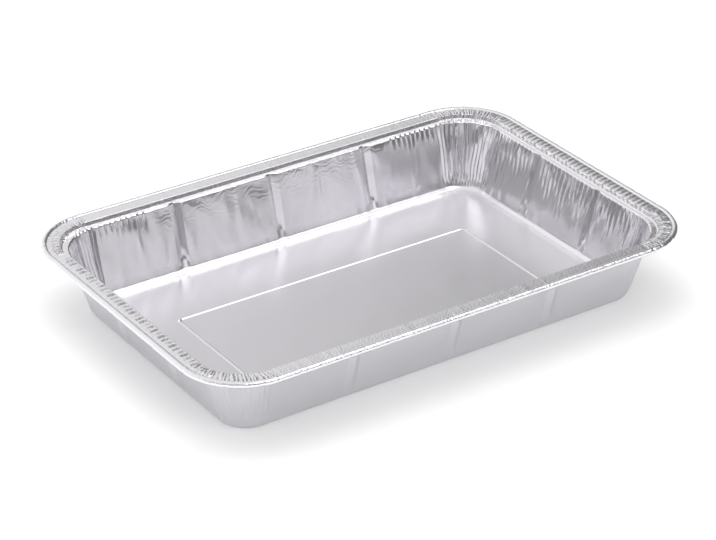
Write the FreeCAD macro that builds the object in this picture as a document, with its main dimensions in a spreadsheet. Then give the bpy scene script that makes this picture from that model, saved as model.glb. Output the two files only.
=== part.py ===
"""Foil drip pan: one sheet of aluminium foil, pressed into a shallow tray with a rolled rim.

Millimetres, +Z up.  The origin is the middle of the underside, on the surface that the pan stands on.

The foil is what is left when the cavity form is cut out of the outside form.  Both are the same
tapered block with a rounded fold at its floor, the outside one a foil lower and wider, and both carry
the same ribs, pleats and gathers.  The rim is one strip, with a ledge, a step, a flange and a rolled
bead, swept round the top.
"""
import FreeCAD, Part

import math
import os

import Sketcher
from FreeCAD import Placement, Rotation, Vector

NODE = "foil_drip_pan"

SIZES = [
    ("foil", 0.3, "thickness of the sheet"),
    ("rim_length", 340, "outside of the rolled rim, along X"),
    ("rim_width", 230, "outside of the rolled rim, along Y"),
    ("rim_height", 47, "top of the rolled bead above the underside"),
    ("rim_corner_radius", 40, "outside corner of the rim, seen from above"),
    ("bead_size", 4, "rolled bead round the rim, across its flats"),
    ("bead_rise", 0.8, "top of the bead above the flange"),
    ("bead_gap", 0.7, "underside of the flange down to the free edge of the roll"),
    ("flange_width", 11.5, "outside of the bead to the top of the step"),
    ("step_height", 3, "flange down to the ledge inside it"),
    ("step_lean", 1, "how much narrower the step is at its foot"),
    ("ledge_width", 2.2, "foot of the step to the top of the wall"),
    ("wall_flare", 15.6, "degrees that the walls lean out"),
    ("wall_corner_radius", 30, "corner of the cavity at the ledge, seen from above"),
    ("fold_radius", 4, "inside of the fold between floor and walls"),
    ("rib_width", 8, "mouth of a rib"),
    ("rib_depth", 2, "how far a rib is pressed out of the wall"),
    ("rib_foot", 8, "length of the slanting facet that closes a rib above the floor"),
    ("side_ribs", 3, "ribs in each long wall"),
    ("side_rib_spacing", 70, "between the ribs of a long wall"),
    ("end_ribs", 2, "ribs in each short wall"),
    ("end_rib_spacing", 60, "between the ribs of a short wall"),
    ("corner_pleats", 15, "pleats in each corner"),
    ("pleat_depth", 1.5, "depth of the deepest pleats at the ledge"),
    ("gather_pitch", 3.8, "between the gathers of a wall"),
    ("gather_width", 2.8, "mouth of a gather at the ledge"),
    ("gather_depth", 0.8, "depth of a gather at the ledge"),
    ("gather_length", 24, "how far the longest gathers run down a wall"),
    ("side_gather_reach", 36, "length of long wall beside each corner that is gathered"),
    ("rim_pleats", 12, "pleats across the flange in each corner"),
    ("rim_pleat_width", 2, "width of a flange pleat"),
    ("rim_pleat_height", 0.5, "height of a flange pleat"),
    ("frame_length", 209, "middle of the bead that frames the floor, along X"),
    ("frame_width", 80, "middle of that bead, along Y"),
    ("frame_corner_radius", 2.5, "corner of that bead, seen from above"),
    ("frame_bead_width", 2, "width of that bead at its foot"),
    ("frame_bead_top", 0.8, "width of that bead along its top"),
    ("frame_bead_height", 0.6, "height of that bead"),
]

# The outside form sits one foil lower than the cavity, so it only has to be this many foils wider
# on each side for the sloping walls to come out one foil thick.
SKIN_GROWTH = 0.75

# How far a fold reaches back into the form that it is fused to, at its top and at its foot.
BURIED = 0.15
BURIED_FOOT = 0.1

# How far a corner's pleats lap into the flat walls beside it, in sides of a pleat.
CORNER_LAP = 0.25

# The share of its width and depth that a gather keeps at its lower end, and the share of its length
# that the facet closing it takes.
GATHER_NARROWING = 0.3
GATHER_CLOSING = 0.2

# The share of its width and height that a flange pleat keeps at its inner end, and the length of the
# facet that closes it there.
FLANGE_PLEAT_NARROWING = 0.6
FLANGE_PLEAT_CLOSING = 1.0

# The smallest share that an uneven fold has of its full size, and the turn, in radians, that sets
# one fold apart from the next.
LEAST_SHARE = 0.6
UNEVEN_TURN = 2.4

# The roll is drawn with this many flats.
BEAD_SIDES = 8

# How far the rim's strip starts inside the cavity, where the cavity cuts it flush with the wall.
STRIP_OVERLAP = 2.0

UP = Vector(0, 0, 1)

doc = FreeCAD.newDocument(NODE)
sizes = doc.addObject("Spreadsheet::Sheet", "sizes")
for row, (alias, value, meaning) in enumerate(SIZES, start=1):
    sizes.set(f"A{row}", meaning)
    sizes.set(f"B{row}", str(value))
    sizes.setAlias(f"B{row}", alias)
doc.recompute()

FLANGE_LEVEL = "(sizes.rim_height - sizes.bead_rise)"
LEDGE_LEVEL = f"({FLANGE_LEVEL} - sizes.step_height)"
STEP_INSET = "(sizes.flange_width + sizes.step_lean)"
LEDGE_INSET = f"({STEP_INSET} + sizes.ledge_width)"
WALL_HEIGHT = f"({LEDGE_LEVEL} - sizes.foil)"
WALL_RUN = f"({WALL_HEIGHT} * tan(sizes.wall_flare))"


def measure(expression):
    """The value of an expression on the sheet."""
    return float(sizes.evalExpression(expression))


class Skin:
    """One side of the foil, as expressions: how far it lies below and outside the cavity's."""

    def __init__(self, name, foils):
        self.name = name
        self.drop = f"({foils} * sizes.foil)"
        self.growth = f"({foils * SKIN_GROWTH} * sizes.foil)"
        self.floor = f"(sizes.foil - {self.drop})"
        self.top = f"({LEDGE_LEVEL} - {self.drop})"
        self.floor_inset = f"({LEDGE_INSET} + {WALL_RUN} - {self.growth})"
        self.floor_corner = f"(sizes.wall_corner_radius - {WALL_RUN} + {self.growth})"


CAVITY = Skin("cavity", 0)
OUTSIDE = Skin("outside", 1)


# ---- sketches -----------------------------------------------------------------------------------


def drive(sketch, name, constraint, expression):
    """Add a dimension to a sketch and tie it to the sheet."""
    number = sketch.addConstraint(constraint)
    sketch.renameConstraint(number, name)
    sketch.setExpression(f"Constraints.{name}", expression)


def rounded_rectangle(sketch, length, width, radius):
    """Four arcs and four lines about the sketch's origin; the three sizes are expressions."""
    corner = measure(radius)
    half_x = measure(length) / 2 - corner
    half_y = measure(width) / 2 - corner
    centres = [(half_x, half_y), (-half_x, half_y), (-half_x, -half_y), (half_x, -half_y)]
    for turn, (x, y) in enumerate(centres):
        start, end = turn * math.pi / 2, (turn + 1) * math.pi / 2
        circle = Part.Circle(Vector(x, y, 0), UP, corner)
        arc = sketch.addGeometry(Part.ArcOfCircle(circle, start, end))
        edge = Vector(math.cos(end), math.sin(end), 0) * corner
        following = centres[(turn + 1) % 4]
        side = Part.LineSegment(Vector(x, y, 0) + edge, Vector(*following, 0) + edge)
        line = sketch.addGeometry(side)
        sketch.addConstraint(Sketcher.Constraint("Tangent", arc, 2, line, 1))
        sketch.addConstraint(Sketcher.Constraint("Vertical" if turn % 2 else "Horizontal", line))
    for line in (1, 3, 5, 7):
        sketch.addConstraint(Sketcher.Constraint("Tangent", line, 2, (line + 1) % 8, 1))
    for arc in (2, 4, 6):
        sketch.addConstraint(Sketcher.Constraint("Equal", 0, arc))
    sketch.addConstraint(Sketcher.Constraint("Symmetric", 0, 3, 4, 3, -1, 1))
    across = Sketcher.Constraint("DistanceX", 2, 3, 0, 3, 2 * half_x)
    along = Sketcher.Constraint("DistanceY", 6, 3, 0, 3, 2 * half_y)
    drive(sketch, "corner", Sketcher.Constraint("Radius", 0, corner), radius)
    drive(sketch, "between_x", across, f"{length} - 2 * {radius}")
    drive(sketch, "between_y", along, f"{width} - 2 * {radius}")


def polyline(sketch, corners, closed=False):
    """Straight lines through the corners, each given as two expressions."""
    points = [Vector(measure(across), measure(up), 0) for across, up in corners]
    ends = points[1:] + points[:1] if closed else points[1:]
    for start, end in zip(points, ends):
        sketch.addGeometry(Part.LineSegment(start, end))
    lines = len(ends)
    for line in range(lines if closed else lines - 1):
        sketch.addConstraint(Sketcher.Constraint("Coincident", line, 2, (line + 1) % lines, 1))
    for number, (point, (across, up)) in enumerate(zip(points, corners)):
        line, end = (number, 1) if number < lines else (number - 1, 2)
        reach = Sketcher.Constraint("DistanceX", -1, 1, line, end, point.x)
        height = Sketcher.Constraint("DistanceY", -1, 1, line, end, point.y)
        drive(sketch, f"across_{number}", reach, across)
        drive(sketch, f"up_{number}", height, up)


def path_and_section(name, length, width, radius, level):
    """A rounded path round the pan, and an upright sketch that stands where the path starts."""
    path = doc.addObject("Sketcher::SketchObject", f"{name}_path")
    path.setExpression("Placement.Base.z", level)
    rounded_rectangle(path, length, width, radius)
    section = doc.addObject("Sketcher::SketchObject", f"{name}_section")
    section.Placement = Placement(Vector(), Rotation(Vector(1, 0, 0), 90))
    section.setExpression("Placement.Base.x", f"{length} / 2")
    section.setExpression("Placement.Base.y", f"{width} / 2 - {radius}")
    section.setExpression("Placement.Base.z", level)
    return path, section


def sweep(name, section, path):
    solid = doc.addObject("Part::Sweep", name)
    solid.Sections = [section]
    solid.Spine = (path, [f"Edge{number}" for number in range(1, 9)])
    solid.Solid = True
    doc.recompute()
    return solid


# ---- the two forms ------------------------------------------------------------------------------


def frame_bead(skin):
    """The bead that frames the middle of the floor, on one side of the foil."""
    path, section = path_and_section(
        f"{skin.name}_bead",
        "sizes.frame_length",
        "sizes.frame_width",
        "sizes.frame_corner_radius",
        skin.floor,
    )
    foot, crown = "sizes.frame_bead_width / 2", "sizes.frame_bead_top / 2"
    outline = [
        (f"-{foot}", "0"),
        (foot, "0"),
        (crown, "sizes.frame_bead_height"),
        (f"-{crown}", "sizes.frame_bead_height"),
    ]
    polyline(section, outline, closed=True)
    return sweep(f"{skin.name}_bead", section, path)


def block(skin):
    """The tapered block that one side of the foil wraps, with the fold round its floor."""
    body = doc.addObject("PartDesign::Body", f"{skin.name}_block")
    doc.recompute()
    outline = body.newObject("Sketcher::SketchObject", f"{skin.name}_floor")
    plane = next(item for item in body.Origin.OriginFeatures if item.Role == "XY_Plane")
    outline.AttachmentSupport = (plane, [""])
    outline.MapMode = "FlatFace"
    outline.setExpression("AttachmentOffset.Base.z", skin.floor)
    rounded_rectangle(
        outline,
        f"(sizes.rim_length - 2 * {skin.floor_inset})",
        f"(sizes.rim_width - 2 * {skin.floor_inset})",
        skin.floor_corner,
    )
    walls = body.newObject("PartDesign::Pad", f"{skin.name}_walls")
    walls.Profile = outline
    walls.setExpression("Length", WALL_HEIGHT)
    walls.setExpression("TaperAngle", "sizes.wall_flare")
    doc.recompute()

    just_above = walls.Shape.BoundBox.ZMin + measure("sizes.foil") / 2
    floor_edges = [
        f"Edge{number}"
        for number, edge in enumerate(walls.Shape.Edges, start=1)
        if edge.BoundBox.ZMax < just_above
    ]
    fold = body.newObject("PartDesign::Fillet", f"{skin.name}_fold")
    fold.Base = (walls, floor_edges)
    fold.setExpression("Radius", f"sizes.fold_radius + {skin.drop}")
    doc.recompute()
    return body


# ---- ribs, pleats and gathers -------------------------------------------------------------------


def flat_faced(outlines):
    """A solid with one flat face inside each of the outlines."""
    faces = [Part.Face(Part.makePolygon([*outline, outline[0]])) for outline in outlines]
    return Part.makeSolid(Part.makeShell(faces))


def pressed_fold(top, foot, outward, width, depth, narrowing, facet):
    """A V-shaped fold standing out of the line from top to foot, as a solid of five flat faces.

    It keeps the share `narrowing` of its width and depth at its lower end, where a slanting facet,
    `facet` long, closes it against the wall.
    """
    along = foot - top
    sideways = along.cross(outward).normalize()
    knee = top + along * (1 - facet / along.Length)
    slope = width / (2 * depth)

    def back(point, scale, buried):
        inner = point - outward * buried
        half = sideways * (slope * (depth * scale + buried))
        return inner - half, inner + half

    foot_scale = 1 - (1 - narrowing) * along.Length / (along.Length - facet)
    top_left, top_right = back(top, 1, BURIED)
    foot_left, foot_right = back(foot, foot_scale, BURIED_FOOT)
    crest = top + outward * depth
    crest_end = knee + outward * (depth * narrowing)
    outlines = [
        (top_left, top_right, crest),
        (top_left, crest, crest_end, foot_left),
        (top_right, foot_right, crest_end, crest),
        (crest_end, foot_right, foot_left),
        (top_left, foot_left, foot_right, top_right),
    ]
    return flat_faced(outlines)


class WallLines:
    """Points on one skin's sloping walls and corners, found from the rectangle inside its corners."""

    def __init__(self, skin):
        corner = "sizes.wall_corner_radius"
        self.core_x = measure(f"sizes.rim_length / 2 - {LEDGE_INSET} - {corner}")
        self.core_y = measure(f"sizes.rim_width / 2 - {LEDGE_INSET} - {corner}")
        self.top = measure(skin.top)
        self.top_radius = measure(f"{corner} + {skin.growth}")
        self.lean = math.tan(math.radians(measure("sizes.wall_flare")))
        fold = f"(sizes.fold_radius + {skin.drop}) * (1 - sin(sizes.wall_flare))"
        self.height = self.top - measure(f"{skin.floor} + {fold}")

    def radius(self, fall):
        return self.top_radius - fall * self.lean

    def fold(self, core, outward, length, width, depth, narrowing, facet):
        """A fold that starts at the ledge and runs down the wall for a length measured upright."""
        top = core + outward * self.radius(0) + UP * self.top
        foot = core + outward * self.radius(length) + UP * (self.top - length)
        return pressed_fold(top, foot, outward, width, depth, narrowing, facet)


def corners():
    """Each corner's two signs, and the angle at which its quarter turn starts."""
    return [((1, 1), 0), ((-1, 1), 90), ((-1, -1), 180), ((1, -1), 270)]


def heading(degrees):
    return Vector(math.cos(math.radians(degrees)), math.sin(math.radians(degrees)), 0)


def evenly(count, step):
    """Offsets of a row of items about its middle."""
    return [(number - (count - 1) / 2) * step for number in range(count)]


def uneven(number):
    """A share between LEAST_SHARE and 1 that runs on unevenly from one number to the next."""
    return 1 - (1 - LEAST_SHARE) * (0.5 + 0.5 * math.sin(UNEVEN_TURN * number))


def corner_pleats(lines):
    """Pleats that fan round each corner, from the ledge down to the fold, as a solid a corner.

    Their lines run towards the apex of the corner's cone, which keeps their sides flat.  Below the
    knee they close, just outside the wall, and the outermost sides lap into the flat walls.
    """
    sides = 2 * int(measure("sizes.corner_pleats"))
    depth = measure("sizes.pleat_depth")
    knee = lines.height - measure("sizes.fold_radius")
    places = [-CORNER_LAP, *range(1, sides), sides + CORNER_LAP]
    solids = []
    for (sign_x, sign_y), start in corners():
        core = Vector(sign_x * lines.core_x, sign_y * lines.core_y, 0)
        pleated = [
            depth * uneven(start + side) if side % 2 else BURIED for side in range(1, sides)
        ]
        closed = [BURIED] * (sides - 1)
        rings = []
        for fall, proud in ((0, pleated), (knee, pleated), (lines.height, closed)):
            centre = core + UP * (lines.top - fall)
            scale = lines.radius(fall) / lines.top_radius
            ring = [
                centre + heading(start + 90 * place / sides) * (lines.top_radius + height) * scale
                for place, height in zip(places, (-BURIED, *proud, -BURIED))
            ]
            rings.append([centre, *ring])
        top, middle, foot = rings
        outlines = [top, foot[::-1]]
        for one, other in zip(range(len(top)), [*range(1, len(top)), 0]):
            outlines.append((top[one], middle[one], middle[other], top[other]))
            outlines.append((middle[one], foot[one], foot[other]))
            outlines.append((middle[one], foot[other], middle[other]))
        solids.append(flat_faced(outlines))
    return solids


def half_root(width, depth):
    """Half the width of a fold at its root, inside the form that it is fused to."""
    return width / 2 * (1 + BURIED / depth)


def wall_ribs_and_gathers(lines):
    """The ribs of each wall, and the gathers between them where the foil is drawn in."""
    rib_width = measure("sizes.rib_width")
    rib_depth = measure("sizes.rib_depth")
    rib_foot = measure("sizes.rib_foot")
    pitch = measure("sizes.gather_pitch")
    gather_width = measure("sizes.gather_width")
    gather_depth = measure("sizes.gather_depth")
    reach = measure("sizes.side_gather_reach")
    clear_of_ribs = half_root(rib_width, rib_depth) + half_root(gather_width, gather_depth)
    walls = [("end", lines.core_x, lines.core_y, 0), ("side", lines.core_y, lines.core_x, 90)]
    folds = []
    for kind, out, half_run, first in walls:
        ribs = evenly(
            int(measure(f"sizes.{kind}_ribs")), measure(f"sizes.{kind}_rib_spacing")
        )
        gathers = [
            place
            for place in evenly(int(2 * half_run / pitch), pitch)
            if all(abs(place - rib) > clear_of_ribs for rib in ribs)
            and abs(place) < half_run - gather_width
            and (kind == "end" or abs(place) > half_run - reach)
        ]
        for turn in (first, first + 180):
            outward = heading(turn)
            along = heading(turn + 90)
            for place in ribs:
                core = outward * out + along * place
                folds.append(
                    lines.fold(core, outward, lines.height, rib_width, rib_depth, 1, rib_foot)
                )
            for number, place in enumerate(gathers):
                core = outward * out + along * place
                length = measure("sizes.gather_length") * uneven(number + turn)
                closing = GATHER_CLOSING * length
                folds.append(
                    lines.fold(
                        core, outward, length, gather_width, gather_depth, GATHER_NARROWING, closing
                    )
                )
    return folds


def flange_pleats():
    """Flat-pressed pleats that fan across the flange in the corners."""
    corner = measure("sizes.rim_corner_radius")
    inner = corner - measure("sizes.flange_width")
    outer = corner - measure("sizes.bead_size")
    level = UP * measure(FLANGE_LEVEL)
    count = int(measure("sizes.rim_pleats"))
    width = measure("sizes.rim_pleat_width")
    height = measure("sizes.rim_pleat_height")
    pleats = []
    for (sign_x, sign_y), start in corners():
        core = Vector(
            sign_x * measure("sizes.rim_length / 2 - sizes.rim_corner_radius"),
            sign_y * measure("sizes.rim_width / 2 - sizes.rim_corner_radius"),
            0,
        )
        for number in range(count):
            outward = heading(start + (number + 0.5) * 90 / count)
            near = core + outward * inner + level
            far = core + outward * outer + level
            pleats.append(
                pressed_fold(
                    far, near, UP, width, height, FLANGE_PLEAT_NARROWING, FLANGE_PLEAT_CLOSING
                )
            )
    return pleats


def folds_of(skin):
    lines = WallLines(skin)
    folds = doc.addObject("Part::Feature", f"{skin.name}_folds")
    folds.Shape = Part.makeCompound(corner_pleats(lines) + wall_ribs_and_gathers(lines))
    return folds


# ---- the rim ------------------------------------------------------------------------------------


def rim():
    """Ledge, step, flange and rolled bead, as one strip of foil swept round the pan."""
    path, line = path_and_section(
        "rim", "sizes.rim_length", "sizes.rim_width", "sizes.rim_corner_radius", "0"
    )
    roll = "(sizes.bead_size / 2)"
    half_side = math.tan(math.pi / BEAD_SIDES)
    outline = [
        (f"-({LEDGE_INSET} + {STRIP_OVERLAP})", LEDGE_LEVEL),
        (f"-{STEP_INSET}", LEDGE_LEVEL),
        ("-sizes.flange_width", FLANGE_LEVEL),
        (f"-{roll} * {1 + half_side:.6f} - sizes.bead_rise", FLANGE_LEVEL),
    ]
    for side in range(BEAD_SIDES - 1):
        angle = math.pi / 2 + (0.5 - side) * 2 * math.pi / BEAD_SIDES
        across = math.cos(angle) / math.cos(math.pi / BEAD_SIDES) - 1
        up = math.sin(angle) / math.cos(math.pi / BEAD_SIDES) - 1
        outline.append((f"{across:.6f} * {roll}", f"sizes.rim_height + {up:.6f} * {roll}"))
    outline.append((f"-2 * {roll}", f"{FLANGE_LEVEL} - sizes.foil - sizes.bead_gap"))
    polyline(line, outline)
    doc.recompute()

    strip = doc.addObject("Part::Offset2D", "rim_strip")
    strip.Source = line
    strip.Mode = "Skin"
    strip.Join = "Intersection"
    strip.Fill = True
    strip.setExpression("Value", "-sizes.foil")
    doc.recompute()
    return sweep("rim", strip, path)


# ---- the pan ------------------------------------------------------------------------------------


def cut(name, base, tool):
    result = doc.addObject("Part::Cut", name)
    result.Base = base
    result.Tool = tool
    return result


def fuse(name, shapes):
    result = doc.addObject("Part::MultiFuse", name)
    result.Shapes = shapes
    return result


def pan():
    pleats = doc.addObject("Part::Feature", "flange_pleats")
    pleats.Shape = Part.makeCompound(flange_pleats())
    cavity = fuse("cavity_form", [block(CAVITY), folds_of(CAVITY)])
    outside = fuse("outside_form", [block(OUTSIDE), folds_of(OUTSIDE), rim(), pleats])
    hollow = cut("cavity_tool", cavity, frame_bead(CAVITY))
    solid = cut("outside_solid", outside, frame_bead(OUTSIDE))
    result = cut(NODE, solid, hollow)
    result.Label = NODE
    result.Refine = True
    return result


part = pan()
doc.recompute()

for item in doc.Objects:
    if "Invalid" in item.State or "Error" in item.State:
        raise RuntimeError(f"{item.Name} failed to rebuild")
if part.Shape.isNull() or not part.Shape.isValid() or len(part.Shape.Solids) != 1:
    raise RuntimeError("the pan is not one sound solid")

os.makedirs("parts", exist_ok=True)
part.Shape.exportStep(os.path.join("parts", f"{NODE}.step"))
print(f"{NODE}: {part.Shape.Volume:.0f} mm3, {len(part.Shape.Faces)} faces")
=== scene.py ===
"""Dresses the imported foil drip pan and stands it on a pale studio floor.

One sheet of aluminium foil is pressed from a flat loop, ring by ring: floor, fold, wall, ledge,
step, flange and roll.  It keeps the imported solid's main form and sizes.  Its creases are finer,
and on most of the walls they are shallower than the solid's.
"""
import math
from typing import NamedTuple

import bmesh
import bpy
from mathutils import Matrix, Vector, noise


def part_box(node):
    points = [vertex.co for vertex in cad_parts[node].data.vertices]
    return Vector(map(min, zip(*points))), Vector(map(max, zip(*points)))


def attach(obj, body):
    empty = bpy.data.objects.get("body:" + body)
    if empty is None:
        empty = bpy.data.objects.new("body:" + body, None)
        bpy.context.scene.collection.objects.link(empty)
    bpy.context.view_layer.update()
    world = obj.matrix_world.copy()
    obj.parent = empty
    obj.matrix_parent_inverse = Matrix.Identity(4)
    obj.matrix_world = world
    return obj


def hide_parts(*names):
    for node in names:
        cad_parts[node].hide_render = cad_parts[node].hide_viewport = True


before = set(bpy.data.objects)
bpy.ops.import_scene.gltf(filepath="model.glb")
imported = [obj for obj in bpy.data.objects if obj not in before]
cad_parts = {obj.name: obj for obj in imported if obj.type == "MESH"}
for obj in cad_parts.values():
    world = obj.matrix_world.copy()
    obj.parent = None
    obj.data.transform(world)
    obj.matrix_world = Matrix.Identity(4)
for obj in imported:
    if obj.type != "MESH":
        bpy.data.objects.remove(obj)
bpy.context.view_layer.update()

bl_info = {
    "name": "Foil drip pan",
    "version": (1, 0, 0),
    "blender": (4, 5, 0),
    "location": "View3D > Sidebar > Foil pan",
    "description": "Presses a foil drip pan out of one sheet and sets a pale studio round it",
    "category": "Object",
}

NODE = "foil_drip_pan"
CAD_LOW, CAD_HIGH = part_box(NODE)
MM = 0.001
UP = Vector((0, 0, 1))
WHITE = (1, 1, 1, 1)


# ---- settings -----------------------------------------------------------------------------------


def size(name, description, metres):
    """A length that the user can change."""
    return bpy.props.FloatProperty(
        name=name, description=description, default=metres, min=0, precision=4, unit="LENGTH"
    )


def angle(name, description, degrees):
    """An angle that the user can change."""
    return bpy.props.FloatProperty(
        name=name, description=description, default=math.radians(degrees), subtype="ANGLE"
    )


def share(name, description, value):
    """A share, a strength or a roughness."""
    return bpy.props.FloatProperty(
        name=name, description=description, default=value, min=0, soft_max=1, subtype="FACTOR"
    )


def brightness(name, description, value):
    """A light's strength, where 1 shows a white surface as white."""
    return bpy.props.FloatProperty(name=name, description=description, default=value, min=0)


def count(name, description, value):
    """A whole number of like things."""
    return bpy.props.IntProperty(name=name, description=description, default=value, min=1)


def linear(hex_colour):
    """An sRGB hex colour as linear red, green and blue."""
    channels = [int(hex_colour[place : place + 2], 16) / 255 for place in (1, 3, 5)]
    return tuple(
        value / 12.92 if value <= 0.04045 else ((value + 0.055) / 1.055) ** 2.4
        for value in channels
    )


def colour(name, description, hex_colour):
    """A colour that is given as sRGB hex."""
    return bpy.props.FloatVectorProperty(
        name=name,
        description=description,
        default=linear(hex_colour),
        subtype="COLOR",
        min=0,
        max=1,
    )


class PanSizes(bpy.types.PropertyGroup):
    """What the press makes of the sheet."""

    length: size("Length", "Outside of the rolled rim, along X", CAD_HIGH.x - CAD_LOW.x)
    width: size("Width", "Outside of the rolled rim, along Y", CAD_HIGH.y - CAD_LOW.y)
    height: size("Height", "Top of the roll above the underside", CAD_HIGH.z - CAD_LOW.z)
    foil: size("Foil", "Thickness of the sheet as drawn", 0.3 * MM)
    rim_corner: size("Rim corner", "Outside corner of the rim", 40 * MM)
    roll: size("Roll", "Diameter of the rolled edge", 4 * MM)
    roll_rise: size("Roll rise", "Top of the roll above the flange", 0.8 * MM)
    flange: size("Flange", "Outside of the roll to the top of the step", 11.5 * MM)
    step: size("Step", "Flange down to the ledge", 3 * MM)
    step_lean: size("Step lean", "How far the step leans in towards its foot", 1 * MM)
    ledge: size("Ledge", "Foot of the step to the top of the wall", 2.2 * MM)
    flare: angle("Flare", "How far the walls lean out", 15.6)
    wall_corner: size("Wall corner", "Corner of the inside at the ledge", 30 * MM)
    fold: size("Fold", "Inside radius between floor and walls", 4 * MM)
    rib_width: size("Rib width", "Mouth of a rib", 8 * MM)
    rib_depth: size("Rib depth", "How far a rib is pressed out", 2 * MM)
    rib_foot: size("Rib foot", "Facet that closes a rib above the floor", 8 * MM)
    side_rib_spacing: size("Side rib spacing", "Between the ribs of a long wall", 70 * MM)
    end_rib_spacing: size("End rib spacing", "Between the ribs of a short wall", 60 * MM)
    pleats: count("Corner pleats", "Pleats in each corner of the wall", 15)
    pleat_depth: size("Pleat depth", "Depth of the deepest corner pleats at the ledge", 1.5 * MM)
    gather_pitch: size("Gather pitch", "Between the gathers of a wall", 3.8 * MM)
    gather_width: size("Gather width", "Mouth of a gather at the ledge", 2.8 * MM)
    gather_depth: size("Gather depth", "Depth of a gather at the ledge", 0.8 * MM)
    gather_length: size("Gather length", "How far the gathers run down a wall", 32 * MM)
    side_gather_length: size("Side gather length", "The same on a long wall", 11 * MM)
    gather_reach: size("Gather reach", "Gathered length of long wall beside a corner", 36 * MM)
    rim_pleats: count("Rim pleats", "Pleats across the flange in each corner", 12)
    rim_pleat_height: size("Rim pleat height", "Height of a flange pleat", 0.5 * MM)
    frame_length: size("Frame length", "Bead round the middle of the floor, along X", 209 * MM)
    frame_width: size("Frame width", "The same bead, along Y", 80 * MM)
    frame_corner: size("Frame corner", "Corner of that bead", 2.5 * MM)
    frame_bead: size("Frame bead", "Width of that bead at its foot", 2 * MM)
    frame_rise: size("Frame rise", "Height of that bead", 0.6 * MM)


class FoilLook(bpy.types.PropertyGroup):
    """How the pressed foil looks."""

    metal: colour("Metal", "Bare aluminium, faintly violet in soft light", "#F1EFF3")
    # Painted shade: the floor's colour is darker than the walls' only to stand in for the dimmer
    # light it mirrors; its satin is in its roughness
    floor_metal_painted_shade: colour("Floor metal (painted shade)", "The floor's colour, painted darker than the walls' as shade", "#E3E1E5")
    roughness: share("Roughness", "Of the smooth floor", 0.27)
    wall_roughness: share("Wall roughness", "Of the walls, stretched bright by the press", 0.16)
    worked: share("Worked roughness", "Where the foil has been drawn in", 0.07)
    dent_height: size("Dent height", "Broad unevenness of the sheet", 0.35 * MM)
    crease_height: size("Crease height", "Long soft creases of the walls", 0.6 * MM)
    wrinkle_height: size("Wrinkle height", "Fine upright wrinkles of the walls and rim", 0.14 * MM)
    ripple_height: size("Ripple height", "Level ripples of the long walls", 0.03 * MM)
    crinkle_height: size("Crinkle height", "Small crinkles of the rim and wall tops", 0.2 * MM)
    matt_metal: colour("Matt metal", "The sheet's matt side, the pan's outside", "#D9D8DC")
    matt_roughness: share("Matt roughness", "Of that side", 0.4)


class StageLook(bpy.types.PropertyGroup):
    """The studio."""

    azimuth: angle("Azimuth", "Camera's turn round the pan, from its front", -34)
    elevation: angle("Elevation", "Camera's height above the floor", 28.8)
    distance: size("Distance", "Camera to the middle of the pan", 1.605)
    lens: bpy.props.FloatProperty(name="Lens", description="In millimetres", default=134.5)
    floor: colour("Floor", "Plain pale floor", "#F2F2F2")
    floor_lift: share("Floor lift", "Glow that brings the floor up to the background's white", 0.2)
    unlit: share("Unlit side", "Brightness of the room on the camera's right", 0.16)
    near: share("Camera's side", "Brightness of the room round the camera", 0.42)
    ceiling: share("Ceiling", "Brightness of the room overhead", 0.88)
    softbox: brightness("Softbox", "Brightness over the camera's right", 2.1)
    lamp: brightness("Lamp", "Brightness of the small lamp that the frame's bead mirrors", 2.0)
    ceiling_rise: share("Ceiling rise", "How much higher its light ends behind the pan", 0.46)
    camera_rise: share("Camera rise", "How much higher it ends behind the camera", 0.38)


# ---- the sheet's rings --------------------------------------------------------------------------

# Shares of the way across each part at which its rings lie; the wall's start above the rib feet.
FLOOR_RINGS = (0.12, 0.9)
FOLD_RINGS = (0, 0.25, 0.5, 0.75)
WALL_RINGS = (0.34, 0.47, 0.6, 0.71, 0.81, 0.9, 0.965, 1)
LEDGE_RINGS = (0, 0.5, 1)
RISER_RINGS = (0.15, 0.85)
FLANGE_RINGS = (0.04, 0.35, 0.7, 1)
ROLL_RINGS = (0.06, 0.14, 0.23, 0.32, 0.41, 0.52, 0.65, 0.82, 1)

# The bead that frames the floor, as shares of half its width and of its height.
BEAD_PROFILE = ((-1, 0), (-0.2, 0.85), (0, 1), (0.2, 0.85), (1, 0))
INNERMOST_CORNER = 0.2 * MM
LEDGE_BEND = 0.3 * MM
ROLL_END = -0.98 * math.pi
CORNER_STEPS = 120

# How strongly each corner and wall, in turn from the corner at +X and +Y, was creased in the press.
CREASING = (1.0, 0.75, 0.45, 0.35, 0.3, 0.3, 0.6, 1.0)

# How much of the gathering is left in the middle of a wall, and how fast it fades from a corner,
# in lengths of the gathered stretch.
LEAST_DRAWN_IN = {"end": 0.7, "side": 0.35}
DRAWN_IN_FADE = 0.6

# How far pleats and gathers stray sideways, and the distance over which they come free to.
STRAY = 1.5 * MM
WANDER_FREE = 8 * MM

# How far the slack wall bulges: broadly, along slanting folds, and where it is crumpled.
BULGE, SLANT, CRUMPLE = 0.6 * MM, 0.25 * MM, 0.25 * MM

# Crinkles of the rim: their height, their pitch in millimetres and their seed.
LEDGE_CRINKLE = (0.15 * MM, 3.1, 5)
RISER_CRINKLE = (0.1 * MM, 4, 9)
FLANGE_CRINKLE = (0.05 * MM, 6, 2)
ROLL_CRINKLE = (0.5 * MM, 2.6, 11)
PLEAT_DRIFT = (0.7, 5, 3)

# A flange pleat's height, as a share of the set one, and its slant across the flange in pitches;
# and the share of a pleat's height by which it nips the riser.
RIM_PLEATS = {"corner": (1.5, 1.1), "end": (1.5, 0.6), "side": (0.25, 0.6)}
RISER_NIP = {"side": 0.25, "end": 0.6, "corner": 1.3}

# Where folds stay sharp along the rings and across them, and how far the foil has to turn for it.
CREASED = ("wall", "ledge", "riser", "flange")
FOLDED = ("ledge", "riser", "flange")
CREASE_ANGLE = math.radians(12)


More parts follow.
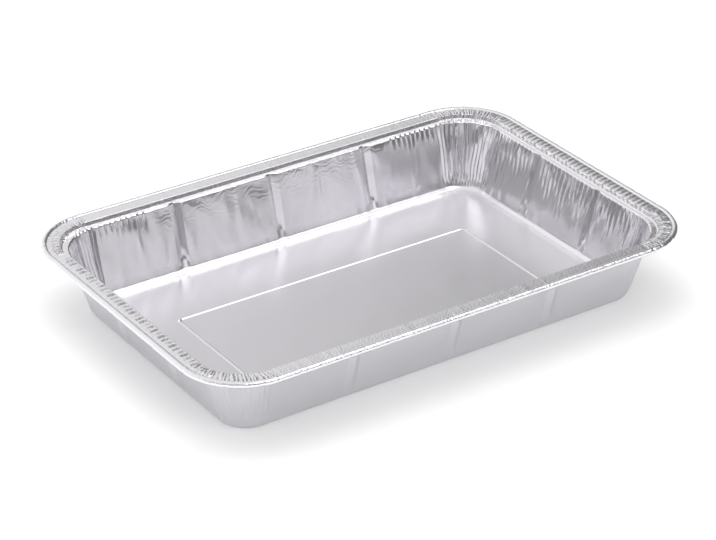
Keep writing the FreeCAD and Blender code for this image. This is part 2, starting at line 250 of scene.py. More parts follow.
class Ring(NamedTuple):
    """One closed line round the pan: a rectangle's corner points, and the radius round them."""

    zone: str
    half_x: float
    half_y: float
    radius: float
    level: float
    place: float


def between(one, other, part):
    return one + (other - one) * part


def within_one(value):
    return min(1, max(0, value))


def uneven(number):
    """A share between 0.6 and 1 that runs on unevenly from one number to the next."""
    return 0.8 - 0.2 * math.sin(2.4 * number)


class Press:
    """The rings of the sheet, and where each of their points is pressed to."""

    def __init__(self, sizes):
        self.sizes = sizes
        self.flange_level = sizes.height - sizes.roll_rise
        self.ledge_level = self.flange_level - sizes.step
        self.lean = math.tan(sizes.flare)
        inset = sizes.flange + sizes.step_lean + sizes.ledge
        self.wall_x = sizes.length / 2 - inset - sizes.wall_corner
        self.wall_y = sizes.width / 2 - inset - sizes.wall_corner
        self.rim_x = sizes.length / 2 - sizes.rim_corner
        self.rim_y = sizes.width / 2 - sizes.rim_corner
        self.fold_turn = math.pi / 2 - sizes.flare
        self.wall_foot = sizes.foil + sizes.fold * (1 - math.cos(self.fold_turn))
        self.wall_height = self.ledge_level - self.wall_foot
        self.rib_places = {
            "side": [number * sizes.side_rib_spacing for number in (-1, 0, 1)],
            "end": [number * sizes.end_rib_spacing for number in (-0.5, 0.5)],
        }

    # Rings, from the middle of the floor outwards.

    def rings(self):
        return [*self.floor(), *self.wall(), *self.step(), *self.roll()]

    def wall_radius(self, level):
        return self.sizes.wall_corner - (self.ledge_level - level) * self.lean

    def floor(self):
        sizes = self.sizes
        corner = sizes.frame_corner
        half_x = sizes.frame_length / 2 - corner
        half_y = sizes.frame_width / 2 - corner
        inner = 2 * sizes.frame_bead
        inmost_x = half_x - inner + corner
        inmost_y = half_y - inner + corner
        rings = [Ring("floor", inmost_x, inmost_y, INNERMOST_CORNER, sizes.foil, 0)]
        half_bead = sizes.frame_bead / 2
        for across, rise in BEAD_PROFILE:
            level = sizes.foil + rise * sizes.frame_rise
            rings.append(Ring("floor", half_x, half_y, corner + across * half_bead, level, 0))
        start = self.wall_radius(sizes.foil) - sizes.fold * math.tan(self.fold_turn / 2)
        for part in FLOOR_RINGS:
            rings.append(
                Ring(
                    "floor",
                    between(half_x, self.wall_x, part),
                    between(half_y, self.wall_y, part),
                    between(corner + half_bead, start, part),
                    sizes.foil,
                    part,
                )
            )
        for part in FOLD_RINGS:
            turn = part * self.fold_turn
            radius = start + sizes.fold * math.sin(turn)
            level = sizes.foil + sizes.fold * (1 - math.cos(turn))
            rings.append(Ring("fold", self.wall_x, self.wall_y, radius, level, part))
        return rings

    def wall(self):
        """Rings that lie closer towards the ledge, where the foil is drawn in most."""
        knee = self.sizes.rib_foot / self.wall_height
        rings = []
        for part in (0, knee / 2, knee, *WALL_RINGS):
            level = self.wall_foot + part * self.wall_height
            rings.append(
                Ring("wall", self.wall_x, self.wall_y, self.wall_radius(level), level, part)
            )
        return rings

    def step(self):
        sizes = self.sizes
        foot = sizes.rim_corner - sizes.flange - sizes.step_lean
        top = sizes.rim_corner - sizes.flange
        inner = sizes.wall_corner + LEDGE_BEND
        outer = foot - LEDGE_BEND
        rings = []
        for part in LEDGE_RINGS:
            rings.append(
                Ring(
                    "ledge",
                    between(self.wall_x, self.rim_x, part),
                    between(self.wall_y, self.rim_y, part),
                    between(inner, outer, part),
                    self.ledge_level,
                    part,
                )
            )
        for part in RISER_RINGS:
            radius = between(foot, top, part)
            level = between(self.ledge_level, self.flange_level, part)
            rings.append(Ring("riser", self.rim_x, self.rim_y, radius, level, part))
        meets = sizes.rim_corner - sizes.roll / 2 * (1 + math.cos(self.roll_start()))
        for part in FLANGE_RINGS:
            radius = between(top, meets, part)
            rings.append(Ring("flange", self.rim_x, self.rim_y, radius, self.flange_level, part))
        return rings

    def roll_start(self):
        """The angle, from straight inwards, at which the roll leaves the flange."""
        radius = self.sizes.roll / 2
        return math.asin((radius - self.sizes.roll_rise) / radius)

    def roll(self):
        sizes = self.sizes
        radius = sizes.roll / 2
        rings = []
        first = math.pi - self.roll_start()
        for part in ROLL_RINGS:
            turn = between(first, ROLL_END, part)
            out = sizes.rim_corner - radius + radius * math.cos(turn)
            level = sizes.height - radius + radius * math.sin(turn)
            rings.append(Ring("roll", self.rim_x, self.rim_y, out, level, part))
        return rings

    # Stations, once round the pan.

    def stations(self):
        """Numbers from 0 to 8: even whole parts are corners, odd ones are walls."""
        found = []
        for section in range(8):
            if section % 2:
                kind = "side" if section % 4 == 1 else "end"
                shares = self.wall_shares(kind)
            else:
                shares = [number / CORNER_STEPS for number in range(CORNER_STEPS)]
            found += [section + value for value in shares]
        return found

    def wall_shares(self, kind):
        """Shares along a wall: on the crests and roots of its gathers and the edges of its ribs."""
        half = self.half_run(kind)
        quarter = self.sizes.gather_pitch / 4
        places = []
        for number in range(-int(half / quarter), int(half / quarter) + 1):
            place = number * quarter
            if number % 2 == 0 or self.gathered(place, kind):
                places.append(place)
        for rib in self.rib_places[kind]:
            marks = [rib + side * self.sizes.rib_width / 2 for side in (-1, -0.5, 0, 0.5, 1)]
            places = [
                place for place in places if all(abs(place - mark) > quarter / 2 for mark in marks)
            ]
            places += marks
        inner = [place for place in sorted(places) if abs(place) < half - quarter / 2]
        return [0] + [(place + half) / (2 * half) for place in inner]

    def gathered(self, along, kind):
        """Whether a place along a wall lies where the foil is gathered."""
        return kind == "end" or abs(along) > self.wall_x - self.sizes.gather_reach

    def heading(self, station):
        """The way out from the pan at a station."""
        section = int(station)
        turn = section // 2 + (station - section if section % 2 == 0 else 1)
        return Vector((math.cos(turn * math.pi / 2), math.sin(turn * math.pi / 2), 0))

    def core(self, station, half_x, half_y):
        """The point on the rectangle of corner points at a station."""
        section = int(station)
        corners = [(1, 1), (-1, 1), (-1, -1), (1, -1)]
        x, y = corners[section // 2]
        if section % 2:
            next_x, next_y = corners[(section // 2 + 1) % 4]
            x = between(x, next_x, station - section)
            y = between(y, next_y, station - section)
        return Vector((x * half_x, y * half_y, 0))

    def run(self, station):
        """Distance round the top of the wall to a station."""
        corner = self.sizes.wall_corner * math.pi / 2
        lengths = [corner, 2 * self.wall_x, corner, 2 * self.wall_y] * 2
        section = int(station)
        if section > 7:
            return sum(lengths)
        return sum(lengths[:section]) + lengths[section] * (station - section)

    def half_run(self, kind):
        """Half the straight length of a wall."""
        return self.wall_x if kind == "side" else self.wall_y

    # What the press does to each point: how far out it moves, and how far up.

    def point(self, station, ring):
        place = self.core(station, ring.half_x, ring.half_y) + UP * ring.level
        way = self.heading(station)
        out, up = getattr(self, f"press_{ring.zone}")(station, ring)
        if ring.zone == "wall":
            place += UP.cross(way) * self.wander(station, self.ledge_level - ring.level)
        return place + way * (ring.radius + out) + UP * up

    def along(self, station, kind):
        """Distance from the middle of a wall, counted the way its stations run."""
        return (station % 1 - 0.5) * 2 * self.half_run(kind)

    def kind(self, station):
        section = int(station) % 8
        return "corner" if section % 2 == 0 else "side" if section % 4 == 1 else "end"

    def creasing(self, station):
        """How strongly the foil is creased at a station, blended from one part to the next."""
        place = station - 0.5
        part = math.floor(place)
        return between(CREASING[part % 8], CREASING[(part + 1) % 8], place - part)

    def drawn_in(self, station):
        """How much the foil is gathered at a station: all of it in a corner, less along a wall."""
        kind = self.kind(station)
        if kind == "corner":
            return 1.0
        near = self.half_run(kind) - abs(self.along(station, kind))
        least = LEAST_DRAWN_IN[kind]
        return least + (1 - least) * math.exp(-near / (DRAWN_IN_FADE * self.sizes.gather_reach))

    def press_floor(self, station, ring):
        return 0, 0

    def press_fold(self, station, ring):
        return 0, 0

    def press_wall(self, station, ring):
        kind = self.kind(station)
        fall = self.ledge_level - ring.level
        if kind == "corner":
            out = self.corner_pleat(station, ring)
        else:
            out = max(
                self.rib(self.along(station, kind), kind, ring),
                self.gather(self.along(station, kind), kind, fall, station),
            )
        return out + self.slack(station, fall), 0

    def rib(self, along, kind, ring):
        """Depth of the rib at a point of the wall, closed by a slanting facet above the floor."""
        sizes = self.sizes
        deepest = 0
        for place in self.rib_places[kind]:
            flank = sizes.rib_depth * (1 - abs(along - place) / (sizes.rib_width / 2))
            deepest = max(deepest, flank)
        facet = sizes.rib_depth * ring.place * self.wall_height / sizes.rib_foot
        return min(deepest, facet)

    def gather(self, along, kind, fall, station):
        """Depth of the gather at a point of the wall: each runs out at its own length."""
        sizes = self.sizes
        near = self.half_run(kind) - abs(along)
        if not self.gathered(along, kind) or self.rib_margin(along, kind) < 0:
            return 0
        longest = sizes.gather_length if kind == "end" else sizes.side_gather_length
        place = along / sizes.gather_pitch
        number = round(place)
        flank = max(0, 1 - abs(place - number) * sizes.gather_pitch / (sizes.gather_width / 2))
        run_out = max(0, 1 - (fall / (longest * uneven(2 * number + int(station)))) ** 2)
        depth = sizes.gather_depth * min(1, near / sizes.gather_pitch)
        return depth * flank * run_out * self.creasing(station)

    def rib_margin(self, along, kind):
        """Distance from the mouth of the nearest rib, less than nothing inside it."""
        nearest = min(abs(along - rib) for rib in self.rib_places[kind])
        return nearest - self.sizes.rib_width / 2

    def wander(self, station, fall):
        """How far the pleats and gathers stray sideways on their way down; ribs stay straight."""
        kind = self.kind(station)
        free = 1
        if kind != "corner":
            free = within_one(self.rib_margin(self.along(station, kind), kind) / WANDER_FREE)
        free *= min(1, fall / WANDER_FREE) * min(1, (self.wall_height - fall) / WANDER_FREE)
        run = self.run(station)
        return free * STRAY * noise.noise(Vector((run / (13 * MM), fall / (15 * MM), 4.1)))

    def corner_pleat(self, station, ring):
        """Sharp pleats that run towards the foot of the corner, each a little unlike the next."""
        sizes = self.sizes
        offset = (station % 1) * sizes.pleats
        number = int(offset)
        flank = 1 - abs(2 * (offset - number) - 1)
        own = uneven(2 * number + 1 + int(station) * 45)
        scale = ring.radius / sizes.wall_corner
        facet = min(1, ring.place * self.wall_height / sizes.fold)
        return sizes.pleat_depth * own * flank * scale * facet * self.creasing(station)

    def slack(self, station, fall):
        """The soft bulge and sink of the wall between its pressed lines."""
        run = self.run(station)
        closed = min(1, (self.wall_height - fall) / (6 * MM)) * min(1, fall / (4 * MM) + 0.25)
        broad = noise.noise(Vector((run / (34 * MM), fall / (26 * MM), 1.3)))
        slanting = ((run + 1.4 * fall) / (11 * MM), (fall - run) / (60 * MM), 7.7)
        tilted = noise.noise(Vector(slanting))
        crumpled = noise.noise(Vector((run / (4.5 * MM), fall / (6 * MM), 2.9)))
        worked = self.drawn_in(station) * self.creasing(station)
        worked *= 1 - 0.6 * fall / self.wall_height
        return closed * (BULGE * broad + SLANT * tilted + CRUMPLE * worked * crumpled)

    def press_ledge(self, station, ring):
        """The heads of ribs and pleats run out across the ledge."""
        wall_top = Ring("wall", 0, 0, self.sizes.wall_corner, self.ledge_level, 1)
        out, _ = self.press_wall(station, wall_top)
        left = 1 - ring.place
        return out * left, self.crinkle(station, *LEDGE_CRINKLE) * left

    def press_riser(self, station, ring):
        """The outer ends of the flange's pleats nip the riser."""
        nip = RISER_NIP[self.kind(station)] * self.rim_pleat(station, 0)
        return nip + self.crinkle(station, *RISER_CRINKLE), 0

    def press_flange(self, station, ring):
        """Pleats and fine crinkles cross the flange, and lie flat at its two edges."""
        fade = math.sin(math.pi * min(1, ring.place))
        height, pitch, seed = FLANGE_CRINKLE
        up = self.crinkle(station, height, pitch, seed + ring.place) * fade
        return 0, up + self.rim_pleat(station, ring.place) * min(1, fade * 1.5)

    def rim_pleat(self, station, across):
        """Slanting pleats: high in a corner and on a short side, faint on a long one."""
        sizes = self.sizes
        kind = self.kind(station)
        share_of_height, slant = RIM_PLEATS[kind]
        height = share_of_height * sizes.rim_pleat_height
        if kind == "corner":
            place = (station % 1) * 2 * sizes.rim_pleats + self.crinkle(station, *PLEAT_DRIFT)
        else:
            along = self.along(station, kind)
            place = along / sizes.gather_pitch
            height *= min(1, (self.half_run(kind) - abs(along)) / sizes.gather_pitch)
        place -= slant * across
        number = math.floor(place)
        flank = 1 - abs(2 * (place - number) - 1)
        return height * flank * uneven(1.7 * number)

    def press_roll(self, station, ring):
        """The roll is nipped in by small crinkles, most of all in the corners."""
        height, pitch, seed = ROLL_CRINKLE
        nip = max(0, self.crinkle(station, height, pitch, seed + ring.place))
        return -nip * (0.35 + self.drawn_in(station) ** 2), 0

    def crinkle(self, station, height, pitch, seed):
        """Unevenness along the rim that repeats about once a pitch in millimetres."""
        run = self.run(station) / (pitch * MM)
        coarse = noise.noise(Vector((run, seed, 0.37 * seed)))
        fine = noise.noise(Vector((run * 2.1, seed + 4, 0)))
        return height * (coarse + 0.5 * fine)


# ---- materials ----------------------------------------------------------------------------------

# How often each pattern of the foil repeats in a metre; the comments below give it in millimetres.
DENTS_PER_METRE = 26
SLANTED_PER_METRE = (80, 22, 1)
SLANTED_TURN = (0, 0, 0.7)
UPRIGHT_PER_METRE = (420, 50, 1)
CRINKLES_PER_METRE = 800
CLOUDS_PER_METRE = 70
CLOUDINESS = 0.05

# Half the length of a zigzag and of a ripple, the zigzag's slope, and how far ripples go astray.
ZIGZAG_HALF = 4.5 * MM
RIPPLE_HALF = 1.8 * MM
ZIGZAG_SLOPE = 0.45
RIPPLE_STRAY = 16 * MM
STRAYS_PER_METRE = 90

# The share of stretched wall, in the "wall" attribute, at which the floor's painted shade, its
# darker colour, is all gone.
FLOOR_SHADE_GONE = 0.25


def add(tree, kind, links=(), **settings):
    """Adds a node with its settings, and links (input, output) pairs into it."""
    node = tree.nodes.new(kind)
    for name, value in settings.items():
        setattr(node, name, value)
    for place, source in links:
        if isinstance(source, bpy.types.NodeSocket):
            tree.links.new(source, node.inputs[place])
        else:
            node.inputs[place].default_value = source
    return node


def pressed_aluminium_foil(look, side):
    """Household-grade aluminium foil, rolled bright on one side and matt on the other.

    Bare metal: the floor keeps the mill's soft sheen, and everything above it is creased, so it
    breaks the studio's light into small bright and dark facets.  Two sheets leave the last rolls
    together, and their touching sides come out matt: that is the pan's outside, greyer and softer.
    """
    material = bpy.data.materials.new(f"aluminium_foil_{side}_side")
    material.use_nodes = True
    tree = material.node_tree
    tree.nodes.clear()

    where = add(tree, "ShaderNodeTexCoord").outputs["Object"]
    unrolled = add(tree, "ShaderNodeUVMap", uv_map="unrolled").outputs["UV"]
    drawn, wall, buckled, crinkly = (
        add(tree, "ShaderNodeAttribute", attribute_name=name).outputs["Fac"]
        for name in ("drawn_in", "wall", "rippled", "crinkled")
    )

    # Broad dents of handling, 30 to 60 mm across.
    dents = add(
        tree,
        "ShaderNodeTexNoise",
        [("Vector", where), ("Scale", DENTS_PER_METRE), ("Detail", 2), ("Roughness", 0.4)],
    )
    # Long creases that cross the walls at a slant, about 12 mm apart and 40 mm long.
    slanted = add(
        tree,
        "ShaderNodeMapping",
        [("Vector", unrolled), ("Rotation", SLANTED_TURN), ("Scale", SLANTED_PER_METRE)],
    )
    creases = add(
        tree,
        "ShaderNodeTexNoise",
        [("Vector", slanted.outputs[0]), ("Scale", 1), ("Detail", 2), ("Distortion", 0.6)],
        noise_type="RIDGED_MULTIFRACTAL",
    )
    # Upright wrinkles, 2 to 3 mm apart and up to 20 mm long.
    upright = add(
        tree, "ShaderNodeMapping", [("Vector", unrolled), ("Scale", UPRIGHT_PER_METRE)]
    )
    wrinkles = add(
        tree,
        "ShaderNodeTexNoise",
        [("Vector", upright.outputs[0]), ("Scale", 1), ("Detail", 2), ("Distortion", 0.8)],
        noise_type="RIDGED_MULTIFRACTAL",
    )
    # Small crinkles between them, about a millimetre across.
    crinkles = add(
        tree,
        "ShaderNodeTexNoise",
        [("Vector", where), ("Scale", CRINKLES_PER_METRE), ("Detail", 2), ("Roughness", 0.6)],
    )
    ripples = level_ripples(tree, unrolled)

    # Each relief lies on the one before it, the broadest first.
    surface = []
    for height, depth, strength in (
        (dents.outputs["Fac"], look.dent_height, 1),
        (creases.outputs["Fac"], look.crease_height, wall),
        (wrinkles.outputs["Fac"], look.wrinkle_height, drawn),
        (ripples.outputs[0], look.ripple_height, buckled),
        (crinkles.outputs["Fac"], look.crinkle_height, crinkly),
    ):
        links = [("Height", height), ("Distance", depth), ("Strength", strength), *surface]
        surface = [("Normal", add(tree, "ShaderNodeBump", links).outputs[0])]

    if side == "bright":
        bare, rough = bright_finish(tree, look, wall, drawn)
    else:
        bare, rough = (*look.matt_metal, 1), look.matt_roughness
    # The mill's sheen is a little cloudy, in patches of about 15 mm.
    clouds = add(
        tree, "ShaderNodeTexNoise", [("Vector", where), ("Scale", CLOUDS_PER_METRE), ("Detail", 3)]
    )
    cloudy = add(
        tree,
        "ShaderNodeMath",
        [(0, clouds.outputs["Fac"]), (1, CLOUDINESS), (2, rough)],
        operation="MULTIPLY_ADD",
    )
    metal = add(
        tree,
        "ShaderNodeBsdfPrincipled",
        [("Base Color", bare), ("Metallic", 1), ("Roughness", cloudy.outputs[0]), *surface],
    )
    add(tree, "ShaderNodeOutputMaterial", [("Surface", metal.outputs[0])])
    return material


def bright_finish(tree, look, wall, drawn):
    """Colour and roughness of the bright side: a satin floor whose colour is painted darker as
    shade, lighter walls, glossy worked foil.
    """
    # Painted shade: where the stretched share is nought, on the floor, the colour is the darker
    # floor colour; from a quarter on, at the fold and above, it is the walls' colour
    stretched = add(tree, "ShaderNodeMapRange", [("Value", wall), ("From Max", FLOOR_SHADE_GONE)])
    bare = add(
        tree,
        "ShaderNodeMix",
        [(0, stretched.outputs[0]), (6, (*look.floor_metal_painted_shade, 1)), (7, (*look.metal, 1))],
        data_type="RGBA",
    )
    unworked = add(
        tree,
        "ShaderNodeMapRange",
        [("Value", wall), ("To Min", look.roughness), ("To Max", look.wall_roughness)],
    )
    rough = add(
        tree,
        "ShaderNodeMapRange",
        [("Value", drawn), ("To Min", unworked.outputs[0]), ("To Max", look.worked)],
    )
    return bare.outputs[2], rough.outputs[0]


def level_ripples(tree, unrolled):
    """Ripples 3.6 mm apart that run level in a zigzag, 9 mm from peak to peak, a little astray."""
    parts = add(tree, "ShaderNodeSeparateXYZ", [(0, unrolled)])
    zigzag = add(
        tree, "ShaderNodeMath", [(0, parts.outputs["X"]), (1, ZIGZAG_HALF)], operation="PINGPONG"
    )
    level = add(
        tree,
        "ShaderNodeMath",
        [(0, zigzag.outputs[0]), (1, ZIGZAG_SLOPE), (2, parts.outputs["Y"])],
        operation="MULTIPLY_ADD",
    )
    stray = add(
        tree,
        "ShaderNodeTexNoise",
        [("Vector", unrolled), ("Scale", STRAYS_PER_METRE), ("Detail", 1)],
    )
    strayed = add(
        tree,
        "ShaderNodeMath",
        [(0, stray.outputs["Fac"]), (1, RIPPLE_STRAY), (2, level.outputs[0])],
        operation="MULTIPLY_ADD",
    )
    fold = add(
        tree, "ShaderNodeMath", [(0, strayed.outputs[0]), (1, RIPPLE_HALF)], operation="PINGPONG"
    )
    return add(tree, "ShaderNodeMath", [(0, fold.outputs[0]), (1, RIPPLE_HALF)], operation="DIVIDE")


def studio_floor(look):
    """Matt white board: a plain even white that takes a soft shadow."""
    material = bpy.data.materials.new("matt_white_board")
    material.use_nodes = True
    tree = material.node_tree
    tree.nodes.clear()
    board = add(tree, "ShaderNodeBsdfDiffuse", [("Color", (*look.floor, 1))])
    path = add(tree, "ShaderNodeLightPath")
    seen = add(
        tree,
        "ShaderNodeMath",
        [(0, path.outputs["Is Camera Ray"]), (1, path.outputs["Is Glossy Ray"])],
        operation="MAXIMUM",
    )
    lift = add(
        tree, "ShaderNodeMath", [(0, seen.outputs[0]), (1, look.floor_lift)], operation="MULTIPLY"
    )
    glow = add(tree, "ShaderNodeEmission", [("Color", WHITE), ("Strength", lift.outputs[0])])
    lifted = add(tree, "ShaderNodeAddShader", [(0, board.outputs[0]), (1, glow.outputs[0])])
    add(tree, "ShaderNodeOutputMaterial", [("Surface", lifted.outputs[0])])
    return material


# ---- pieces -------------------------------------------------------------------------------------

# How much each zone counts as stretched wall and as crinkled, for the material; the stretched share
# also lifts the floor's painted shade out of the colour.
STRETCHED = {"floor": 0, "fold": 0.3, "wall": 1}
STRETCHED_RIM = 0.25
CRINKLED = {"floor": 0, "fold": 0, "wall": 0.1, "ledge": 0.5}
CRINKLED_RIM = 1

# How wrinkled the floor, its bead and the foot of a wall are.
SMOOTH = 0.03
WORKED_BEAD = 0.9
WALL_FOOT = {"corner": 0.5, "end": 0.1, "side": 0.1}

# Ripples begin at this share of a wall's height, and fade out over this distance along it.
RIPPLES_FROM = 0.45
RIPPLE_FADE = 12 * MM


def press_sheet(sizes):
    """The sheet as a mesh: a loop that is extruded ring by ring, each ring moved to its place."""
    press = Press(sizes)
    stations = press.stations()
    rings = press.rings()
    sheet = bmesh.new()
    station_of = sheet.verts.layers.float.new("station")
    ring_of = sheet.verts.layers.int.new("ring")
    drawn_in = sheet.verts.layers.float.new("drawn_in")
    wall = sheet.verts.layers.float.new("wall")
    rippled = sheet.verts.layers.float.new("rippled")
    crinkled = sheet.verts.layers.float.new("crinkled")

    bmesh.ops.create_circle(sheet, cap_ends=True, segments=len(stations), radius=1)
    for vert, station in zip(list(sheet.verts), stations):
        vert[station_of] = station
    edges = list(sheet.edges)
    for number, ring in enumerate(rings):
        if number:
            # Of what the extrusion adds, only the outer loop grows on.
            grown = bmesh.ops.extrude_edge_only(sheet, edges=edges)["geom"]
            edges = [
                item
                for item in grown
                if isinstance(item, bmesh.types.BMEdge)
                and all(len(vert.link_faces) <= 2 for vert in item.verts)
                and len(item.link_faces) == 1
            ]
            verts = {vert for edge in edges for vert in edge.verts}
        else:
            verts = set(sheet.verts)
        for vert in verts:
            station = vert[station_of]
            vert.co = press.point(station, ring)
            vert[ring_of] = number
            vert[drawn_in] = how_drawn_in(press, station, ring)
            vert[wall] = STRETCHED.get(ring.zone, STRETCHED_RIM)
            vert[rippled] = how_rippled(press, station, ring)
            vert[crinkled] = CRINKLED.get(ring.zone, CRINKLED_RIM)
    unroll(sheet, press, rings, station_of, ring_of)
    bmesh.ops.recalc_face_normals(sheet, faces=sheet.faces)
    floor = max(sheet.faces, key=lambda face: len(face.verts))
    if floor.normal.z < 0:
        bmesh.ops.reverse_faces(sheet, faces=sheet.faces)
    for face in sheet.faces:
        face.smooth = True
    crease(sheet, rings, ring_of)
    return sheet


def crease(sheet, rings, ring_of):
    """Marks the edges of pleats, gathers, ribs, frame and step as sharp: foil folds there."""
    for edge in sheet.edges:
        # The extrusion gives an edge's ends in either order, so the outer ring decides.
        inner, outer = sorted(vert[ring_of] for vert in edge.verts)
        ring = rings[outer]
        at_frame_foot = ring.zone == "floor" and ring.level == rings[0].level
        if inner != outer:
            folds = ring.zone in CREASED
        else:
            folds = ring.zone in FOLDED or at_frame_foot
        if folds and edge.calc_face_angle(0) > CREASE_ANGLE:
            edge.smooth = False


def how_drawn_in(press, station, ring):
    """0 where the foil is smooth, 1 where it is wrinkled most."""
    if ring.zone == "floor" and ring.level > press.sizes.foil:
        return WORKED_BEAD
    if ring.zone in ("floor", "fold"):
        return SMOOTH
    if ring.zone == "wall":
        upper = between(WALL_FOOT[press.kind(station)], 1, ring.place**3)
        return press.drawn_in(station) * press.creasing(station) * upper
    return 0.5 + 0.5 * press.drawn_in(station)


def how_rippled(press, station, ring):
    """1 where the upper part of a long wall has buckled into level ripples, 0 elsewhere."""
    if ring.zone != "wall" or press.kind(station) != "side":
        return 0.0
    inside = press.wall_x - press.sizes.gather_reach - abs(press.along(station, "side"))
    return within_one(inside / RIPPLE_FADE) * within_one(3 * (ring.place - RIPPLES_FROM))


def unroll(sheet, press, rings, station_of, ring_of):
    """A UV map in metres: the way round the pan, and the way up the sheet from its middle."""
    reach = [0.0]
    for one, other in zip(rings, rings[1:]):
        out = other.half_y + other.radius - one.half_y - one.radius
        reach.append(reach[-1] + math.hypot(out, other.level - one.level))
    unrolled = sheet.loops.layers.uv.new("unrolled")
    once_round = press.run(8)
    for face in sheet.faces:
        runs = [press.run(loop.vert[station_of]) for loop in face.loops]
        closing = max(runs) - min(runs) > once_round / 2 and len(runs) == 4
        for loop, run in zip(face.loops, runs):
            if closing and run < once_round / 2:
                run += once_round
            loop[unrolled].uv = (run, reach[loop.vert[ring_of]])


class FOILPAN_OT_press_sheet(bpy.types.Operator):
    """Presses the pan out of one sheet of foil"""

    bl_idname = "foilpan.press_sheet"
    bl_label = "Press the foil sheet"

    def execute(self, context):
        sheet = press_sheet(context.scene.foilpan_sizes)
        mesh = bpy.data.meshes.new("pressed_foil")
        sheet.to_mesh(mesh)
        sheet.free()
        for side in ("bright", "matt"):
            mesh.materials.append(pressed_aluminium_foil(context.scene.foilpan_look, side))
        pan = bpy.data.objects.new("pressed_foil", mesh)
        context.scene.collection.objects.link(pan)
        solid = pan.modifiers.new("foil_thickness", "SOLIDIFY")
        solid.thickness = context.scene.foilpan_sizes.foil
        solid.offset = -1
        solid.material_offset = 1
        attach(pan, "root")
        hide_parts(NODE)
        return {"FINISHED"}


# ---- stage --------------------------------------------------------------------------------------

FLOOR_SIZE = 12
CAMERA_AIM = Vector((-1.5, 1.3, 20.5)) * MM
SENSOR_WIDTH = 36
VIEW_END = 50

# The soft lamp overhead: its power in watts, its length and width, and its place.
OVERHEAD_WATTS = 12
OVERHEAD_SIZE = (1.8, 1.4)
OVERHEAD_PLACE = Vector((-0.2, 0.3, 2.0))

# The way from the pan to the small lamp, which hangs above its right end.
LAMP_WAY = (0.49, -0.08, 0.868)

# Where the room's light changes: cosines from the way straight away from the camera, from the way
# to its right, from straight up, and from the way to the small lamp.
AWAY_BEHIND_CAMERA = (-0.9, -0.55)
AWAY_CAMERAS_SIDE = (-0.8, -0.3)
AWAY_SOFTBOX = (-0.5, -0.15)
AWAY_BEHIND_PAN = (-0.3, 0.4)
RIGHT_SOFTBOX = (0.05, 0.25)
UP_CEILING = (0.29, 0.4)
LAMP_EDGE = (0.965, 0.985)

# Brightness of the room's walls from the camera's left, -1, to its right, where it ends unlit.
ROOM_WALLS = ((-1, 1.0), (-0.55, 1.05), (-0.3, 0.84), (-0.02, 0.82), (0.12, 0.28), (0.4, 0.2))
UNLIT_WALLS = (0.6, 0.99)


class FOILPAN_OT_set_stage(bpy.types.Operator):
    """Sets the floor, the lamps, the surroundings and the camera"""

    bl_idname = "foilpan.set_stage"
    bl_label = "Set the stage"

    def execute(self, context):
        look = context.scene.foilpan_stage
        bpy.ops.mesh.primitive_plane_add(size=FLOOR_SIZE)
        floor = context.object
        floor.name = "studio_floor"
        floor.data.materials.append(studio_floor(look))
        surround_with_white(context.scene, look)
        self.hang_lamp(context.scene)
        self.place_camera(context.scene, look)
        context.scene.view_settings.view_transform = "Standard"
        return {"FINISHED"}

    def hang_lamp(self, scene):
        """A soft lamp that faces the pan; the foil mirrors the room, and not this lamp."""
        lamp = bpy.data.lights.new("overhead_lamp", "AREA")
        lamp.shape = "RECTANGLE"
        lamp.energy = OVERHEAD_WATTS
        lamp.size, lamp.size_y = OVERHEAD_SIZE
        holder = bpy.data.objects.new("overhead_lamp", lamp)
        holder.visible_glossy = False
        holder.location = OVERHEAD_PLACE
        holder.rotation_euler = (-OVERHEAD_PLACE).to_track_quat("-Z", "Y").to_euler()
        scene.collection.objects.link(holder)

    def place_camera(self, scene, look):
        camera = bpy.data.cameras.new("studio_camera")
        camera.lens = look.lens
        camera.sensor_width = SENSOR_WIDTH
        camera.clip_end = VIEW_END
        holder = bpy.data.objects.new("studio_camera", camera)
        level = math.cos(look.elevation)
        back = Vector(
            (
                math.sin(look.azimuth) * level,
                -math.cos(look.azimuth) * level,
                math.sin(look.elevation),
            )
        )
        holder.location = CAMERA_AIM + back * look.distance
        holder.rotation_euler = back.to_track_quat("Z", "Y").to_euler()
        scene.collection.objects.link(holder)
        scene.camera = holder


def changing(value, marks, before, after):
    """The links with which a Map Range node goes from one value to another between two marks."""
    start, end = marks
    return [
        ("Value", value),
        ("From Min", start),
        ("From Max", end),
        ("To Min", before),
        ("To Max", after),
    ]


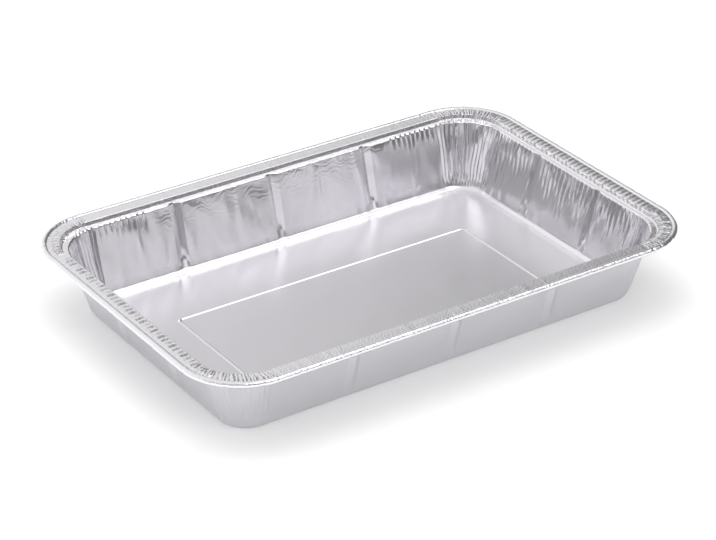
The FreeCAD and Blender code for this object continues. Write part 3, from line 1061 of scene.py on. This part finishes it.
def surround_with_white(scene, look):
    """A room that the foil mirrors, and a white background where the camera looks past the floor.

    The room is pale overhead and to the left, dimmer round the camera, and unlit at its right.
    """
    world = bpy.data.worlds.new("pale_room")
    scene.world = world
    world.use_nodes = True
    tree = world.node_tree
    tree.nodes.clear()
    smooth = {"interpolation_type": "SMOOTHSTEP"}
    mapped = "ShaderNodeMapRange"
    way = add(tree, "ShaderNodeTexCoord").outputs["Generated"]
    rightwards = (math.cos(look.azimuth), math.sin(look.azimuth), 0)
    onwards = (-math.sin(look.azimuth), math.cos(look.azimuth), 0)
    right, away, to_lamp = (
        add(tree, "ShaderNodeVectorMath", [(0, way), (1, axis)], operation="DOT_PRODUCT").outputs[
            "Value"
        ]
        for axis in (rightwards, onwards, LAMP_WAY)
    )
    up = add(tree, "ShaderNodeSeparateXYZ", [(0, way)]).outputs["Z"]

    walls = room_walls(tree, look, right)
    near = add(tree, mapped, changing(away, AWAY_CAMERAS_SIDE, look.near, 1), **smooth)
    walls = add(
        tree, "ShaderNodeMath", [(0, walls.outputs[0]), (1, near.outputs[0])], operation="MINIMUM"
    )

    # The ceiling's light ends higher up behind the pan, and behind the camera too.
    raised = add(tree, mapped, changing(away, AWAY_BEHIND_PAN, 0, look.ceiling_rise), **smooth)
    behind = add(tree, mapped, changing(away, AWAY_BEHIND_CAMERA, look.camera_rise, 0), **smooth)
    lowest = add(
        tree, "ShaderNodeMath", [(0, raised.outputs[0]), (1, behind.outputs[0])], operation="ADD"
    )
    above = add(tree, "ShaderNodeMath", [(0, up), (1, lowest.outputs[0])], operation="SUBTRACT")

    # A softbox over the camera's right, and the small lamp in the ceiling.
    softbox = add(tree, mapped, changing(away, AWAY_SOFTBOX, look.softbox, look.ceiling), **smooth)
    beside = add(
        tree, mapped, changing(right, RIGHT_SOFTBOX, look.ceiling, softbox.outputs[0]), **smooth
    )
    lamp = add(tree, mapped, changing(to_lamp, LAMP_EDGE, beside.outputs[0], look.lamp), **smooth)
    whole = changing(above.outputs[0], UP_CEILING, walls.outputs[0], lamp.outputs[0])
    mirrored = add(tree, mapped, whole, **smooth)

    room = add(tree, "ShaderNodeBackground", [("Color", mirrored.outputs[0]), ("Strength", 1)])
    white = add(tree, "ShaderNodeBackground", [("Color", WHITE), ("Strength", 1)])
    path = add(tree, "ShaderNodeLightPath")
    seen = add(
        tree,
        "ShaderNodeMixShader",
        [(0, path.outputs["Is Camera Ray"]), (1, room.outputs[0]), (2, white.outputs[0])],
    )
    add(tree, "ShaderNodeOutputWorld", [("Surface", seen.outputs[0])])


def room_walls(tree, look, right):
    """The brightness of the room's walls, as a ramp from the camera's left to its right."""
    place_on_ramp = add(tree, "ShaderNodeMapRange", [("Value", right), ("From Min", -1)])
    ramp = add(tree, "ShaderNodeValToRGB", [(0, place_on_ramp.outputs[0])])
    stops = ramp.color_ramp.elements
    for place, level in (*ROOM_WALLS, *((place, look.unlit) for place in UNLIT_WALLS)):
        stop = stops.new((place + 1) / 2) if place > -1 else stops[0]
        stop.color = (level, level, level, 1)
    stops.remove(stops[-1])
    return ramp


# ---- panel --------------------------------------------------------------------------------------


class FOILPAN_PT_panel(bpy.types.Panel):
    """The pan's sizes and looks, and the steps that make it"""

    bl_idname = "FOILPAN_PT_panel"
    bl_label = "Foil pan"
    bl_space_type = "VIEW_3D"
    bl_region_type = "UI"
    bl_category = "Foil pan"

    def draw(self, context):
        for settings, operator in (
            ("foilpan_sizes", "foilpan.press_sheet"),
            ("foilpan_look", None),
            ("foilpan_stage", "foilpan.set_stage"),
        ):
            group = getattr(context.scene, settings)
            box = self.layout.box()
            for name in group.bl_rna.properties.keys():
                if name not in ("rna_type", "name"):
                    box.prop(group, name)
            if operator:
                box.operator(operator)


CLASSES = (
    PanSizes,
    FoilLook,
    StageLook,
    FOILPAN_OT_press_sheet,
    FOILPAN_OT_set_stage,
    FOILPAN_PT_panel,
)


def register():
    for item in CLASSES:
        bpy.utils.register_class(item)
    bpy.types.Scene.foilpan_sizes = bpy.props.PointerProperty(type=PanSizes)
    bpy.types.Scene.foilpan_look = bpy.props.PointerProperty(type=FoilLook)
    bpy.types.Scene.foilpan_stage = bpy.props.PointerProperty(type=StageLook)


def unregister():
    del bpy.types.Scene.foilpan_stage
    del bpy.types.Scene.foilpan_look
    del bpy.types.Scene.foilpan_sizes
    for item in reversed(CLASSES):
        bpy.utils.unregister_class(item)


def main():
    register()
    bpy.ops.foilpan.press_sheet()
    bpy.ops.foilpan.set_stage()


if __name__ == "__main__":
    main()
